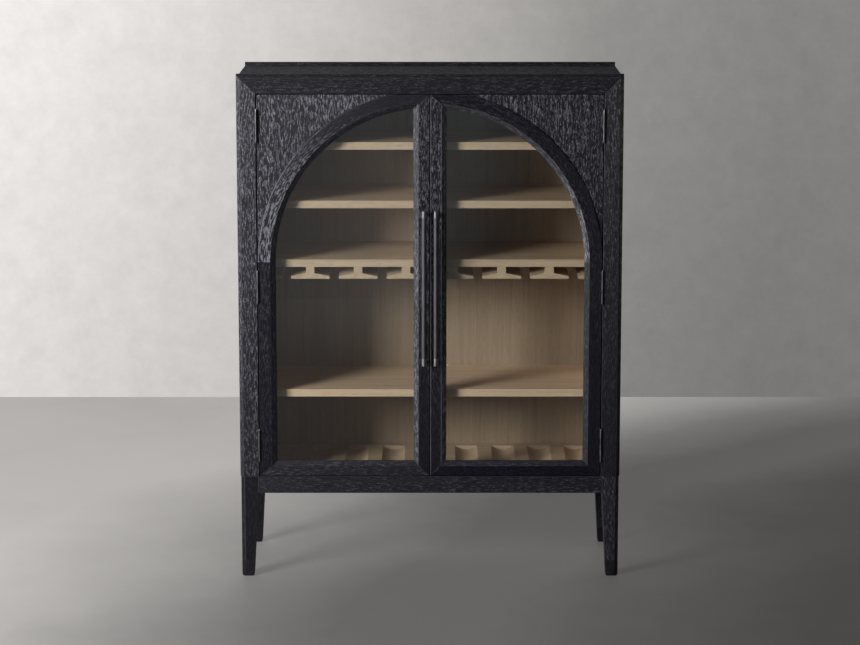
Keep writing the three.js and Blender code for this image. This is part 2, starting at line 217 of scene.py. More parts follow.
# Grain: waves in a metre across, through and along the fibres
SWAY_WAVES = (5, 5, 1.3)
BLACK_BANDS = (34, 34, 1.5)
BLACK_STREAKS = (280, 280, 52)
BLACK_FIBRES = (430, 430, 140)
PALE_BANDS = (26, 26, 0.9)
PALE_RINGS = (120, 120, 3.2)
PALE_FIBRES = (620, 620, 14)
PALE_PORES = (420, 420, 20)
EDGE_WEAR = (60, 60, 60)
PATINA = (55, 55, 30)
DRAW_LINES = (2600, 2600, 60)
RUBBER_WEAR = (300, 300, 90)
GLASS_WAVES = (3, 3, 2)
WALL_CLOUDS = 0.9
WALL_GRAIN = 8.0
FLOOR_CLOUDS = 1.1

# How far the grain wanders, how far apart the pieces' places in it lie, and the part that noise fills
SWAY_REACH = 12 * MILLIMETRE
GRAIN_SPREAD = 5
NOISE = (0.3, 0.7)

# Relief of the materials
PALE_RELIEF = 0.16 * MILLIMETRE
METAL_RELIEF = 0.012 * MILLIMETRE
GLASS_RELIEF = 0.25 * MILLIMETRE

# Colours, from the dark to the light end of the noise
BLACK_TONES = ((0.0, 0.001), (0.15, 0.005), (0.33, 0.022), (0.5, 0.062), (1.0, 0.2))
BLACK_TINT = (1.0, 0.98, 1.14)
BLACK_BLUE = 0.0042
BLACK_LIFT_SHARE = 0.75
BLACK_FINE = (0.35, 0.65, 0.25, 1.0)
EDGE_STOPS = ((0.3, (0.022, 0.0215, 0.026)), (0.7, (0.06, 0.058, 0.068)))
PALE_STOPS = ((0.3, (0.345, 0.23, 0.142)), (0.52, (0.445, 0.318, 0.206)), (0.78, (0.535, 0.402, 0.278)))
RUBBER_STOPS = ((0.3, (0.004, 0.004, 0.0045)), (0.7, (0.008, 0.008, 0.009)))
PATINA_SHARES = ((0.3, 0.75), (0.7, 1.2))
PANE_TINT = (0.93, 0.96, 0.955, 1)
THROUGH_TINT = (0.95, 0.96, 0.955, 1)

# Tone of the light oak, by piece, each matched to the brightness it shows, so partly painted light and
# shade: shelf 4 is made lighter for the light it catches from below, the back panel darker, partly its own
# tone and partly the shade deep in the case
SHELF_TONE = 1.05
PALE_TONES = {"back_panel": 0.64, "bottle_cradle": 0.9, "shelf_4": 1.36}

# Looks of the black oak: depth of its relief in mm, half the step from pore to fibre, strength of its tone
# zones, brightness, roughness, gloss and sheen. Some have a rim, a painted highlight along the arch's outer
# edge, or a drift of the tone with height, painted light that fades up or down: two levels and the share at
# each. The brightness, and the different left and right copies of a look, are painted light and shade: each
# piece is made as bright as the light that falls on it.
PLAIN = {"relief": 0.5, "edge": 0.1, "zones": 0.25, "lift": 0.8, "rough": 0.5, "gloss": 0.45, "sheen": 0.6}
SMOOTH = {**PLAIN, "relief": 0.25, "edge": 0.18, "zones": 0.2, "lift": 0.68, "rough": 0.55}
TOP = {**SMOOTH, "gloss": 0.15, "lift": 1.9}
HIDDEN = {**PLAIN, "relief": 0.3, "lift": 0.6}
STILE_LEFT = {**PLAIN, "edge": 0.13, "lift": 1.2, "relief": 0.6, "drift": (0.4, 1.5, 0.75, 1.3)}
STILE_RIGHT = {**STILE_LEFT, "edge": 0.08, "zones": 0.4, "lift": 0.62, "gloss": 0.35}
LEG_LEFT = {**PLAIN, "lift": 0.4, "gloss": 0.3}
LEG_RIGHT = {**PLAIN, "lift": 0.8}
OUTER_LEFT = {**PLAIN, "edge": 0.05, "lift": 0.5, "gloss": 0.25, "drift": (0.4, 1.0, 0.85, 1.1)}
OUTER_RIGHT = {**OUTER_LEFT, "lift": 0.35, "gloss": 0.2}
RAISED = {**PLAIN, "relief": 1.2}
MEETING = {**RAISED, "edge": 0.02, "zones": 0.4, "lift": 1.0, "gloss": 0.25, "drift": (0.35, 1.2, 0.2, 1.1)}
CORNER_LEFT = {**RAISED, "edge": 0.04, "lift": 1.42, "rough": 0.42}
CORNER_RIGHT = {**CORNER_LEFT, "edge": 0.015, "zones": 0.45, "lift": 1.15, "gloss": 0.25}
BAND = {**PLAIN, "relief": 0.9, "edge": 0.03, "lift": 0.55, "gloss": 0.22, "sheen": 0.3}
LIT_BAND = {**BAND, "edge": 0.06, "lift": 1.1, "gloss": 0.4, "rim": 0.65, "drift": (1.08, 1.5, 2.3, 0.3)}
BEVEL = {**PLAIN, "relief": 0.15, "lift": 0.62, "rough": 0.4, "gloss": 0.42, "sheen": 0.2}
DIM_BEVEL = {**BEVEL, "lift": 1.1, "gloss": 0.6}
ARCH_BEVEL = {**BEVEL, "lift": 1.2, "gloss": 0.7, "drift": (1.08, 1.5, 1.7, 0.6)}
LIT_BEVEL = {**BEVEL, "relief": 0.6, "edge": 0.03, "zones": 0.5, "lift": 1.2, "rough": 0.36, "gloss": 0.7}


# Materials


class Shader:
    """A node material, with short calls to add and join its nodes."""

    def __init__(self, name):
        self.material = bpy.data.materials.new(name)
        self.material.use_nodes = True
        self.tree = self.material.node_tree
        self.tree.nodes.clear()
        self.output = self.node("ShaderNodeOutputMaterial")

    def node(self, kind, inputs=None, **settings):
        made = self.tree.nodes.new(kind)
        for name, value in settings.items():
            setattr(made, name, value)
        for key, value in (inputs or {}).items():
            if isinstance(value, bpy.types.NodeSocket):
                self.tree.links.new(value, made.inputs[key])
            else:
                made.inputs[key].default_value = value
        return made

    def here(self):
        return self.node("ShaderNodeTexCoord").outputs["Object"]

    def split(self, vector):
        return self.node("ShaderNodeSeparateXYZ", {0: vector}).outputs

    def join(self, x=0.0, y=0.0, z=0.0):
        return self.node("ShaderNodeCombineXYZ", {0: x, 1: y, 2: z}).outputs[0]

    def math(self, operation, a, b=0.0, c=0.0):
        return self.node("ShaderNodeMath", {0: a, 1: b, 2: c}, operation=operation).outputs[0]

    def stretch(self, vector, waves):
        return self.node("ShaderNodeVectorMath", {0: vector, 1: waves}, operation="MULTIPLY").outputs[0]

    def noise(self, vector, waves, detail=2.0, roughness=0.5, distortion=0.0):
        """Noise with so many waves in a metre, which may differ by direction."""
        scale = waves
        if isinstance(waves, tuple):
            vector = self.stretch(vector, waves)
            scale = 1.0
        inputs = {
            "Vector": vector,
            "Scale": scale,
            "Detail": detail,
            "Roughness": roughness,
            "Distortion": distortion,
        }
        return self.node("ShaderNodeTexNoise", inputs).outputs["Fac"]

    def remap(self, value, low, high, to_low=0.0, to_high=1.0, smooth=True):
        inputs = {"Value": value, 1: low, 2: high, 3: to_low, 4: to_high}
        kind = "SMOOTHSTEP" if smooth else "LINEAR"
        return self.node("ShaderNodeMapRange", inputs, interpolation_type=kind).outputs[0]

    def ramp(self, value, stops, tone=1.0):
        made = self.node("ShaderNodeValToRGB", {"Fac": value})
        elements = made.color_ramp.elements
        while len(elements) < len(stops):
            elements.new(0.5)
        for element, (place, colour) in zip(elements, stops):
            element.position = place
            element.color = (*(part * tone for part in colour), 1)
        return made.outputs["Color"]

    def blend(self, factor, a, b, kind="MIX"):
        inputs = {0: factor, 6: a, 7: b}
        return self.node("ShaderNodeMix", inputs, data_type="RGBA", blend_type=kind).outputs[2]

    def bump(self, height, distance):
        return self.node("ShaderNodeBump", {"Height": height, "Distance": distance}).outputs["Normal"]

    def surface(self, shader):
        self.tree.links.new(shader, self.output.inputs["Surface"])
        return self.material

    def principled(self, inputs):
        return self.surface(self.node("ShaderNodeBsdfPrincipled", inputs).outputs[0])


def arch_place(shader):
    """Where a point lies from the arch's centre: its run, depth, rise and distance."""
    run, depth, height = shader.split(shader.here())
    rise = shader.math("SUBTRACT", height, ARCH_SPRING)
    flat = shader.join(run, rise)
    out = shader.node("ShaderNodeVectorMath", {0: flat}, operation="LENGTH").outputs["Value"]
    return run, depth, rise, out


def grain_space(shader, axis, seed):
    """Object coordinates turned so that the grain runs along their Z, with a place of its own per piece."""
    turns = {
        "x": (0, -math.pi / 2, 0),
        "y": (math.pi / 2, 0, 0),
        "z": (0, 0, 0),
        "arch": (0, 0, 0),
    }
    draw = random.Random(seed)
    offset = [draw.uniform(-GRAIN_SPREAD, GRAIN_SPREAD) for _ in range(3)]
    here = shader.here()
    if axis == "arch":
        run, depth, rise, out = arch_place(shader)
        turn = shader.math("MULTIPLY", shader.math("ARCTAN2", rise, run), ARCH_RADIUS)
        here = shader.join(out, depth, turn)
    inputs = {"Vector": here, "Rotation": turns[axis], "Location": offset}
    placed = shader.node("ShaderNodeMapping", inputs).outputs[0]
    sway = shader.noise(placed, SWAY_WAVES)
    drift = shader.remap(sway, 0.0, 1.0, -SWAY_REACH, SWAY_REACH, smooth=False)
    shift = shader.join(drift, drift)
    return shader.node("ShaderNodeVectorMath", {0: placed, 1: shift}, operation="ADD").outputs[0]


def fibre_direction(shader, axis):
    """The direction of the fibres, which follows the arch where the axis is that."""
    straight = {"x": (1, 0, 0), "y": (0, 1, 0), "z": (0, 0, 1)}
    if axis == "arch":
        run, _, rise, _ = arch_place(shader)
        along = shader.join(shader.math("MULTIPLY", rise, -1.0), 0.0, run)
    else:
        along = shader.join(*straight[axis])
    turned = shader.node(
        "ShaderNodeVectorTransform",
        {0: along},
        vector_type="VECTOR",
        convert_from="OBJECT",
        convert_to="WORLD",
    )
    return turned.outputs[0]


def black_tone(value):
    """A tone of the black stain, slightly blue."""
    red, green, blue = (value * share for share in BLACK_TINT)
    return red, green, blue + BLACK_BLUE


def black_oak(name, axis, seed, look=PLAIN):
    """Brushed open-grain oak, stained black: raised fibres with a sheen across them, open pores."""
    shader = Shader(name)
    place = grain_space(shader, axis, seed)
    bands = shader.noise(place, BLACK_BANDS, detail=3.0, roughness=0.55, distortion=0.6)
    streaks = shader.noise(place, BLACK_STREAKS)
    fibres = shader.noise(place, BLACK_FIBRES, roughness=0.6)
    ridges = shader.remap(streaks, 0.5 - look["edge"], 0.5 + look["edge"])
    fine = shader.remap(fibres, *BLACK_FINE)
    zones = shader.remap(bands, *NOISE, 1 - look["zones"], 1 + look["zones"], smooth=False)
    # The raised fibres come out lighter in colour: partly the grain, partly a painted sheen on their tops
    height = shader.math("MULTIPLY", ridges, fine)
    light = shader.math("MULTIPLY", height, zones)
    # The look's brightness is painted light and shade: each piece is made as bright as the light on it
    light = shader.math("MULTIPLY", light, look["lift"] * BLACK_LIFT_SHARE)
    # Painted highlight: a light line along the arch's outer edge, where the arris catches the light
    if "rim" in look:
        out = arch_place(shader)[3]
        start = ARCH_RADIUS - PAINTED_RIM_WIDTH
        rim = shader.remap(out, start, start + PAINTED_RIM_WIDTH / 2, 0.0, look["rim"])
        light = shader.math("ADD", light, rim)
    # Painted light: the tone grows lighter or darker with height, as the light on the piece does
    if "drift" in look:
        level = shader.split(shader.here())[2]
        light = shader.math("MULTIPLY", light, shader.remap(level, *look["drift"], smooth=False))
    inputs = {
        "Base Color": shader.ramp(light, [(at, black_tone(value)) for at, value in BLACK_TONES]),
        "Roughness": shader.remap(height, 0.0, 1.0, 0.66, look["rough"]),
        "Normal": shader.bump(height, look["relief"] * MILLIMETRE),
        "Specular IOR Level": look["gloss"],
        "Anisotropic": look["sheen"],
        "Anisotropic Rotation": 0.25,
        "Tangent": fibre_direction(shader, axis),
    }
    return shader.principled(inputs)


def rubbed_edge(name, seed, tone):
    """The same stain on an arris, where handling has polished it. Its tone, given per use, is also painted
    light: brighter where the arris catches the light, darker beside the gaps.
    """
    shader = Shader(name)
    wear = shader.noise(grain_space(shader, "z", seed), EDGE_WEAR, detail=3.0)
    inputs = {
        "Base Color": shader.ramp(wear, EDGE_STOPS, tone),
        "Roughness": shader.remap(wear, *NOISE, 0.5, 0.36),
        "Specular IOR Level": 0.5,
    }
    return shader.principled(inputs)


def light_oak(name, axis, seed, tone=1.0):
    """Pale oak under matt lacquer: fine straight pores, soft growth bands, slight colour drift."""
    shader = Shader(name)
    place = grain_space(shader, axis, seed)
    bands = shader.noise(place, PALE_BANDS, detail=3.0, roughness=0.55, distortion=0.7)
    rings = shader.noise(place, PALE_RINGS)
    fibres = shader.noise(place, PALE_FIBRES, detail=3.0, roughness=0.6)
    cells = shader.node(
        "ShaderNodeTexVoronoi",
        {"Vector": shader.stretch(place, PALE_PORES), "Scale": 1.0, "Randomness": 1.0},
        feature="F1",
    )
    pores = shader.remap(cells.outputs["Distance"], 0.1, 0.3)
    mixed = 0.0
    for part, share in ((bands, 0.5), (rings, 0.35), (fibres, 0.25)):
        mixed = shader.math("MULTIPLY_ADD", part, share, mixed)
    dark_pores = shader.remap(pores, 0.0, 1.0, 0.62, 1.0)
    shade = shader.join(dark_pores, dark_pores, dark_pores)
    height = shader.math("MULTIPLY_ADD", fibres, 0.3, shader.math("MULTIPLY", pores, 0.5))
    inputs = {
        "Base Color": shader.blend(0.85, shader.ramp(mixed, PALE_STOPS, tone), shade, "MULTIPLY"),
        "Roughness": shader.remap(mixed, 0.3, 0.8, 0.62, 0.5),
        "Normal": shader.bump(height, PALE_RELIEF),
    }
    return shader.principled(inputs)


def dark_metal(name, base, rough_low, rough_high, seed):
    """Blackened steel: faint draw lines, a little uneven patina, metallic sheen."""
    shader = Shader(name)
    place = grain_space(shader, "z", seed)
    patina = shader.noise(place, PATINA, detail=4.0, roughness=0.6)
    lines = shader.noise(place, DRAW_LINES)
    inputs = {
        "Base Color": shader.ramp(patina, [(at, [v * share for v in base]) for at, share in PATINA_SHARES]),
        "Roughness": shader.remap(patina, *NOISE, rough_low, rough_high),
        "Normal": shader.bump(lines, METAL_RELIEF),
        "Metallic": 1.0,
    }
    return shader.principled(inputs)


def black_rubber(name, seed):
    """Soft black seal, matt and a little uneven."""
    shader = Shader(name)
    wear = shader.noise(grain_space(shader, "z", seed), RUBBER_WEAR, detail=3.0)
    inputs = {
        "Base Color": shader.ramp(wear, RUBBER_STOPS),
        "Roughness": shader.remap(wear, *NOISE, 0.75, 0.9),
        "Specular IOR Level": 0.3,
    }
    return shader.principled(inputs)


def clear_glass(name):
    """Float glass with faint waves. Shadow and diffuse rays pass straight through it."""
    shader = Shader(name)
    wave = shader.noise(shader.here(), GLASS_WAVES, detail=1.0)
    inputs = {
        "Base Color": PANE_TINT,
        "Roughness": 0.015,
        "IOR": 1.5,
        "Transmission Weight": 1.0,
        "Normal": shader.bump(wave, GLASS_RELIEF),
    }
    pane = shader.node("ShaderNodeBsdfPrincipled", inputs)
    through = shader.node("ShaderNodeBsdfTransparent", {"Color": THROUGH_TINT})
    path = shader.node("ShaderNodeLightPath").outputs
    passing = shader.math("MAXIMUM", path["Is Shadow Ray"], path["Is Diffuse Ray"])
    mixed = shader.node("ShaderNodeMixShader", {0: passing, 1: pane.outputs[0], 2: through.outputs[0]})
    return shader.surface(mixed.outputs[0])


# Meshes


def new_object(name, data):
    made = bpy.data.objects.new(name, data)
    bpy.context.scene.collection.objects.link(made)
    return made


def mesh_from(name, builder):
    """An object from a bmesh, with outward faces."""
    bmesh.ops.recalc_face_normals(builder, faces=builder.faces)
    mesh = bpy.data.meshes.new(name)
    builder.to_mesh(mesh)
    builder.free()
    return new_object(name, mesh)


def mesh_group(name):
    """An empty node group that takes in a mesh and gives one out, with its two end nodes."""
    group = bpy.data.node_groups.new(name, "GeometryNodeTree")
    for way in ("INPUT", "OUTPUT"):
        group.interface.new_socket("Geometry", in_out=way, socket_type="NodeSocketGeometry")
    enter = group.nodes.new("NodeGroupInput")
    leave = group.nodes.new("NodeGroupOutput")
    return group, enter, leave


def smooth_group():
    """Node group that gives smooth faces with sharp edges beyond an angle."""
    group, enter, leave = mesh_group("smooth_by_angle")
    faces = group.nodes.new("GeometryNodeSetShadeSmooth")
    faces.domain = "FACE"
    faces.inputs["Shade Smooth"].default_value = True
    edges = group.nodes.new("GeometryNodeSetShadeSmooth")
    edges.domain = "EDGE"
    edges.inputs["Shade Smooth"].default_value = False
    angle = group.nodes.new("GeometryNodeInputMeshEdgeAngle")
    wide = group.nodes.new("FunctionNodeCompare")
    wide.data_type = "FLOAT"
    wide.operation = "GREATER_THAN"
    wide.inputs["B"].default_value = SHARP_ANGLE
    group.links.new(enter.outputs[0], faces.inputs["Geometry"])
    group.links.new(faces.outputs[0], edges.inputs["Geometry"])
    group.links.new(angle.outputs["Unsigned Angle"], wide.inputs["A"])
    group.links.new(wide.outputs[0], edges.inputs["Selection"])
    group.links.new(edges.outputs[0], leave.inputs[0])
    return group


def bare_group():
    """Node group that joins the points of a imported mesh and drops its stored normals."""
    group, enter, leave = mesh_group("joined_points")
    drop = group.nodes.new("GeometryNodeRemoveAttribute")
    drop.inputs["Name"].default_value = "custom_normal"
    merge = group.nodes.new("GeometryNodeMergeByDistance")
    merge.inputs["Distance"].default_value = WELD
    group.links.new(enter.outputs[0], drop.inputs["Geometry"])
    group.links.new(drop.outputs[0], merge.inputs["Geometry"])
    group.links.new(merge.outputs[0], leave.inputs[0])
    return group


SMOOTH_GROUP = smooth_group()
BARE_GROUP = bare_group()


def soften(piece, width, edge_slot=1, segments=2, packed=True):
    """Rounds a piece's edges by a small width and shades its curves smoothly."""
    if packed:
        bare = piece.modifiers.new("joined_points", "NODES")
        bare.node_group = BARE_GROUP
        flat = piece.modifiers.new("flat_faces", "DECIMATE")
        flat.decimate_type = "DISSOLVE"
        flat.angle_limit = FLAT_ANGLE
        flat.delimit = {"MATERIAL"}
    if width > 0:
        arris = piece.modifiers.new("arris", "BEVEL")
        arris.width = width
        arris.segments = segments
        arris.limit_method = "ANGLE"
        arris.angle_limit = ARRIS_ANGLE
        arris.material = edge_slot
        arris.use_clamp_overlap = True
    smooth = piece.modifiers.new("smooth_by_angle", "NODES")
    smooth.node_group = SMOOTH_GROUP
    weighted = piece.modifiers.new("weighted_normals", "WEIGHTED_NORMAL")
    weighted.keep_sharp = True
    weighted.weight = NORMAL_WEIGHT


def paint(piece, *materials):
    piece.data.materials.clear()
    for material in materials:
        piece.data.materials.append(material)


def paint_faces(piece, material, chosen):
    """Gives one more material to the faces whose outward direction is chosen."""
    slot = len(piece.data.materials)
    piece.data.materials.append(material)
    for face in piece.data.polygons:
        if chosen(face.normal):
            face.material_index = slot


def hang(piece, body):
    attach(piece, body)


def add_piece(name, builder, material, body):
    """A piece of the scene's own, smoothly shaded and hung on its body."""
    piece = mesh_from(name, builder)
    paint(piece, material)
    soften(piece, 0, packed=False)
    hang(piece, body)
    return piece


def bridge(builder, a, b):
    """Joins two rings of points by faces. A ring of one point closes the body there."""
    count = max(len(a), len(b))
    for i in range(count):
        k = (i + 1) % count
        corners = (a[i % len(a)], a[k % len(a)], b[k % len(b)], b[i % len(b)])
        builder.faces.new(list(dict.fromkeys(corners)))


def lathe(builder, profile, centre, turn, steps):
    """Adds a turned body: profile pairs of radius and height along the axis, turned and placed."""
    rings = []
    for radius, height in profile:
        count = steps if radius > 0 else 1
        ring = []
        for i in range(count):
            angle = 2 * math.pi * i / count
            point = Vector((radius * math.cos(angle), radius * math.sin(angle), height))
            ring.append(builder.verts.new(centre + turn @ point))
        rings.append(ring)
    for a, b in zip(rings, rings[1:]):
        bridge(builder, a, b)
    return rings


def facing(*direction):
    """The turn that brings a body's axis into a direction."""
    return Vector(direction).to_track_quat("Z", "Y").to_matrix()


# Arris materials, alike but for their brightness, which is painted light and shade: the first is partly wear
# and partly the light an arris catches, the door one is painted shade beside the gaps, the meeting one a
# painted highlight.
edge = rubbed_edge("rubbed_edge", "edge", 0.6)
door_edge = rubbed_edge("door_edge", "door edge", 0.12)
painted_highlight_arris = rubbed_edge("meeting_edge", "meeting edge", 2.6)
metal = dark_metal("blackened_steel", (0.15, 0.15, 0.162), 0.28, 0.42, "metal")
collar_metal = dark_metal("blackened_steel_collar", (0.22, 0.22, 0.238), 0.3, 0.42, "collar")
grip_metal = dark_metal("blackened_steel_knurled", (0.1, 0.1, 0.11), 0.5, 0.62, "grip")
cap_metal = dark_metal("blackened_steel_cap", (0.03, 0.03, 0.036), 0.64, 0.76, "cap")
glass = clear_glass("clear_float_glass")


# The wooden case


def dress_black(name, axis, width=FRAME_ARRIS, look=PLAIN, arris=edge):
    piece = nodes[name]
    paint(piece, black_oak(f"black_oak_{name}", axis, name, look), arris)
    soften(piece, width)
    return piece


def dress_light(name, axis, width=SHELF_ARRIS, tone=1.0):
    piece = nodes[name]
    paint(piece, light_oak(f"light_oak_{name}", axis, name, PALE_TONES.get(name, tone)))
    soften(piece, width, edge_slot=0)
    return piece


def dress_case():
    for side in SIDES:
        # Left and right stiles have looks of their own, their brightness painted light and shade
        dress_black(f"front_stile_{side}", "z", look=STILE_LEFT if side == "left" else STILE_RIGHT)
        dress_black(f"side_panel_{side}", "z")
        dress_black(f"apron_{side}", "y")
        dress_light(f"side_lining_{side}", "z")
        dress_light(f"rack_half_rail_{side}", "y")
    for name in ("front_top_rail", "back_rail", "apron_front", "apron_back"):
        dress_black(name, "x", look=SMOOTH)
    top = dress_black("top_panel", "x", look=TOP)
    ceiling = light_oak("light_oak_ceiling", "x", "ceiling")
    paint_faces(top, ceiling, lambda normal: -normal.z > FACING)
    back = dress_light("back_panel", "z", width=0)
    outside = black_oak("black_oak_back_face", "z", "back face", HIDDEN)
    paint_faces(back, outside, lambda normal: normal.y > FACING)
    dress_light("divider", "z")
    dress_light("bottom_panel", "x")
    dress_light("bottle_cradle", "x")
    for name in nodes:
        if name.startswith("shelf_"):
            dress_light(name, "x", tone=SHELF_TONE)
        if name.startswith("rack_rail_"):
            dress_light(name, "y", tone=SHELF_TONE)


# Legs with their caps


def packed_body(source):
    """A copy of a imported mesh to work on, with its points joined."""
    builder = bmesh.new()
    builder.from_mesh(source.data)
    bmesh.ops.remove_doubles(builder, verts=builder.verts, dist=WELD)
    return builder


def cut_level(builder, height, keep_above):
    """Cuts a body level at a height and closes the cut."""
    cut = bmesh.ops.bisect_plane(
        builder,
        geom=builder.verts[:] + builder.edges[:] + builder.faces[:],
        plane_co=(0, 0, height),
        plane_no=(0, 0, 1),
        clear_outer=not keep_above,
        clear_inner=keep_above,
    )
    rim = [part for part in cut["geom_cut"] if isinstance(part, bmesh.types.BMEdge)]
    bmesh.ops.contextual_create(builder, geom=rim)


def leg_part(name, source, height, keep_above):
    """The part of a leg above or below a height."""
    builder = packed_body(source)
    cut_level(builder, height, keep_above)
    bmesh.ops.dissolve_limit(builder, angle_limit=FLAT_ANGLE, verts=builder.verts, edges=builder.edges)
    return mesh_from(name, builder)


def joint_core(name, source):
    """The dark neck that shows in the fine joint between the leg and its cap."""
    builder = packed_body(source)
    cut_level(builder, CAP_HEIGHT - CORE_REACH, True)
    cut_level(builder, CAP_HEIGHT + CORE_REACH, False)
    centre = sum((v.co for v in builder.verts), Vector()) / len(builder.verts)
    half = max(abs(v.co.x - centre.x) for v in builder.verts)
    shrink = 1 - CORE_INSIDE / half
    for vertex in builder.verts:
        vertex.co.x = centre.x + (vertex.co.x - centre.x) * shrink
        vertex.co.y = centre.y + (vertex.co.y - centre.y) * shrink
    piece = mesh_from(name, builder)
    paint(piece, cap_metal)
    return piece


def make_legs():
    for place in ("front", "back"):
        for side in SIDES:
            node = f"leg_{place}_{side}"
            source = nodes[node]
            # Left and right legs have looks of their own, their brightness painted light and shade
            look = LEG_LEFT if side == "left" else LEG_RIGHT
            wood = leg_part(f"leg_wood_{place}_{side}", source, CAP_HEIGHT + CAP_JOINT / 2, True)
            paint(wood, black_oak(f"black_oak_{node}", "z", node, look), edge)
            soften(wood, FRAME_ARRIS, packed=False)
            hang(wood, "cabinet")
            cap = leg_part(f"foot_cap_{place}_{side}", source, CAP_HEIGHT - CAP_JOINT / 2, False)
            paint(cap, cap_metal)
            soften(cap, FRAME_ARRIS, edge_slot=0, packed=False)
            hang(cap, "cabinet")
            for piece in (wood, cap):
                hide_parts(node)
            core = joint_core(f"leg_dowel_{place}_{side}", source)
            hang(core, "cabinet")


# Doors


def dress_doors():
    # Looks by side and member, each as bright as the light on it: painted light and shade
    looks = {
        "left": {
            "outer_stile": ("z", OUTER_LEFT, BEVEL),
            "meeting_stile": ("z", MEETING, LIT_BEVEL),
            "bottom_rail": ("x", SMOOTH, BEVEL),
            "arch_band": ("arch", LIT_BAND, BEVEL),
        },
        "right": {
            "outer_stile": ("z", OUTER_RIGHT, BEVEL),
            "meeting_stile": ("z", MEETING, DIM_BEVEL),
            "bottom_rail": ("x", OUTER_RIGHT, BEVEL),
            "arch_band": ("arch", BAND, ARCH_BEVEL),
        },
    }
    # Arrises by door and member: a painted highlight on the right meeting stile's, painted shade on most
    # door arrises so that the gaps show dark
    edges = {
        ("left", "arch_band"): (BAND_ARRIS, edge),
        ("right", "arch_band"): (BAND_ARRIS, door_edge),
        ("right", "meeting_stile"): (MEETING_ARRIS, painted_highlight_arris),
    }
    for side, members in looks.items():
        for member, (axis, look, bevel) in members.items():
            width, arris = edges.get((side, member), (DOOR_ARRIS, door_edge))
            piece = dress_black(f"door_{side}_{member}", axis, width, look, arris)
            dress_bevel(piece, axis, bevel)
        corner = CORNER_LEFT if side == "left" else CORNER_RIGHT
        dress_black(f"door_{side}_corner_panel", "z", DOOR_ARRIS, corner, door_edge)
        paint(nodes[f"door_{side}_glass"], glass)


def dress_bevel(piece, axis, look):
    """A smoother finish on the bevel that runs round the glass, its brightness set by door and member as
    painted light and shade.
    """
    low, high = BEVEL_FACING
    finish = black_oak(f"black_oak_bevel_{piece.name}", axis, f"bevel {piece.name}", look)
    paint_faces(piece, finish, lambda normal: low < -normal.y < high)


def opening_outline(side, offset):
    """The outline of the glass opening of a door, grown by an offset, as x and z."""
    low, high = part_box("door_right_glass")
    radius = high.x - PANE_COVER + offset
    inner = low.x + PANE_COVER - offset
    foot = low.z + PANE_COVER - offset
    end = math.acos(inner / radius)
    points = [(inner, foot), (radius, foot)]
    for i in range(ARC_STEPS + 1):
        angle = end * i / ARC_STEPS
        points.append((radius * math.cos(angle), ARCH_SPRING + radius * math.sin(angle)))
    return [(SIGNS[side] * x, z) for x, z in points]


def make_beads():
    """The wooden beads that hold each pane, mitred round the back of the opening."""
    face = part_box("door_right_outer_stile")[0].y
    near = face + PANE_BACK + BEAD_GAP
    far = face + DOOR_THICKNESS - BEAD_SINK
    section = [
        (BEAD_OUTER, near),
        (BEAD_INNER, near),
        (BEAD_INNER, far - BEAD_EASE),
        (BEAD_INNER + BEAD_EASE * EASE_ROUND_SHARE, far - BEAD_EASE * EASE_ROUND_SHARE),
        (BEAD_INNER + BEAD_EASE, far),
        (BEAD_OUTER, far),
    ]
    for side in SIDES:
        builder = bmesh.new()
        rings = []
        for offset, y in section:
            rings.append([builder.verts.new((x, y, z)) for x, z in opening_outline(side, offset)])
        for a, b in zip(rings, rings[1:] + rings[:1]):
            bridge(builder, a, b)
        wood = black_oak(f"black_oak_bead_{side}", "z", f"bead {side}", HIDDEN)
        add_piece(f"glazing_bead_{side}", builder, wood, f"{side}_door")


def make_gap_shade_strip():
    """A soft black strip in the gap between the doors, carried by the left one, so that the gap shows dark:
    painted shade.
    """
    low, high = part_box("door_left_meeting_stile")
    root = high.x - GAP_STRIP_ROOT
    shoulder = high.x + GAP_STRIP_REACH * (1 - GAP_STRIP_ROUND_SHARE)
    tip = high.x + GAP_STRIP_REACH
    near = low.y + GAP_STRIP_DEPTH
    far = near + GAP_STRIP_WIDTH
    section = [
        (root, near),
        (shoulder, near),
        (tip, near + GAP_STRIP_WIDTH * GAP_STRIP_ROUND_SHARE),
        (tip, far - GAP_STRIP_WIDTH * GAP_STRIP_ROUND_SHARE),
        (shoulder, far),
        (root, far),
    ]
    builder = bmesh.new()
    ends = []
    for z in (low.z + GAP_STRIP_END, high.z - GAP_STRIP_END):
        ends.append([builder.verts.new((x, y, z)) for x, y in section])
    bridge(builder, *ends)
    for ring in ends:
        builder.faces.new(ring)
    add_piece("meeting_seal", builder, black_rubber("seal_rubber", "seal"), "left_door")


